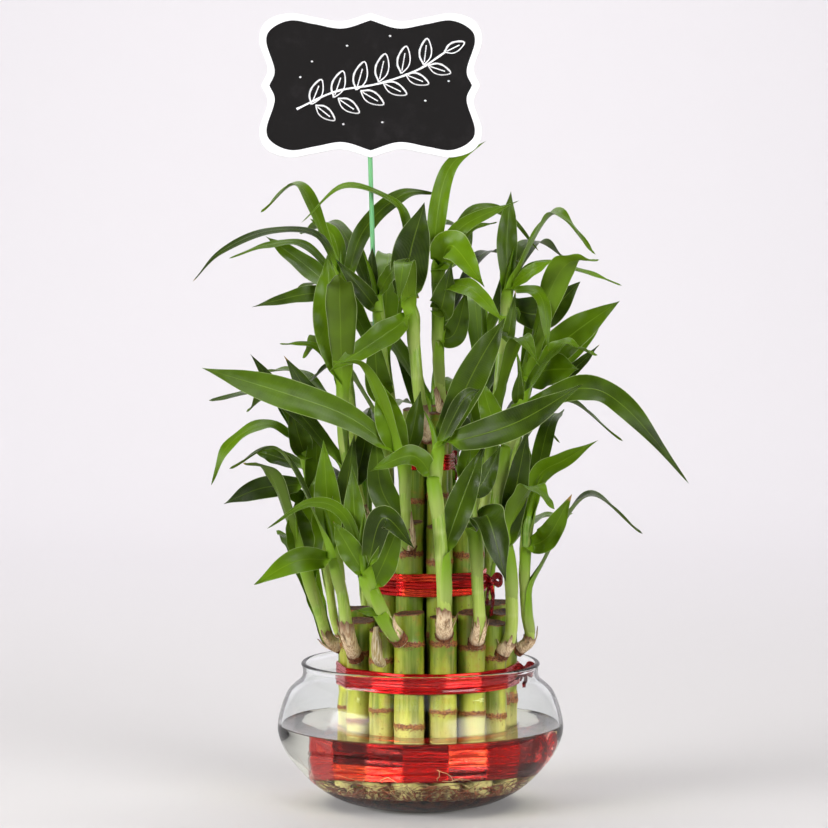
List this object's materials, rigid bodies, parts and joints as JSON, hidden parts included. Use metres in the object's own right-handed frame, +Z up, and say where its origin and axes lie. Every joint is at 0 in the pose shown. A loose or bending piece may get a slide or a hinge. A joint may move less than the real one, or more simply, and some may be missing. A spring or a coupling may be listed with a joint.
{
  "type": "lucky bamboo arrangement",
  "caption": "Cut canes in tied tiers with leafy shoots, standing in a squat glass bowl of water, with a card on a stick.",
  "frame": {"origin": "middle of the bowl's underside, where it stands", "axes": "+Z up, the front faces -Y, +X to the viewer's right"},
  "size_m": [0.254, 0.1904, 0.4113],
  "materials": {
    "glass": "clear, polished",
    "water": "clear water, slightly yellow",
    "roots": "matted red-brown roots",
    "cane": "smooth green skin with a slight gloss",
    "leaf": "glossy living leaf",
    "ribbon": "red metallised foil",
    "stick": "pale green plastic",
    "card": "matt black with a white edge"
  },
  "bodies": {
    "root": {"bowl": "glass", "water": "water", "root_mat": "roots", "cane_outer_1": "cane", "cane_outer_2": "cane", "cane_outer_3": "cane", "cane_outer_4": "cane", "cane_outer_5": "cane", "cane_outer_6": "cane", "cane_outer_7": "cane", "cane_outer_8": "cane", "cane_outer_9": "cane", "cane_outer_10": "cane", "cane_outer_11": "cane", "cane_outer_12": "cane", "cane_outer_13": "cane", "cane_outer_14": "cane", "cane_middle_1": "cane", "cane_middle_2": "cane", "cane_middle_3": "cane", "cane_middle_4": "cane", "cane_middle_5": "cane", "cane_middle_6": "cane", "cane_middle_7": "cane", "cane_middle_8": "cane", "cane_middle_9": "cane", "cane_inner_1": "cane", "cane_inner_2": "cane", "cane_inner_3": "cane", "cane_inner_4": "cane", "tie_lower": "ribbon", "tie_rim": "ribbon", "tie_middle": "ribbon", "tie_upper": "ribbon", "stick": "stick", "card": "card", "shoot_outer_1": "leaf", "shoot_outer_14": "leaf", "shoot_outer_2": "leaf", "shoot_outer_4": "leaf", "shoot_outer_5": "leaf", "shoot_outer_6": "leaf", "shoot_outer_7": "leaf", "shoot_outer_8": "leaf", "shoot_middle_1": "leaf", "shoot_middle_9": "leaf", "shoot_middle_8": "leaf", "shoot_inner_2": "leaf", "shoot_inner_4": "leaf", "shoot_inner_3": "leaf", "shoot_middle_3": "leaf", "shoot_middle_4": "leaf", "shoot_outer_10": "leaf", "shoot_outer_11": "leaf", "shoot_outer_13": "leaf", "shoot_middle_5": "leaf", "shoot_middle_6": "leaf", "shoot_middle_7": "leaf"}
  },
  "joints": []
}
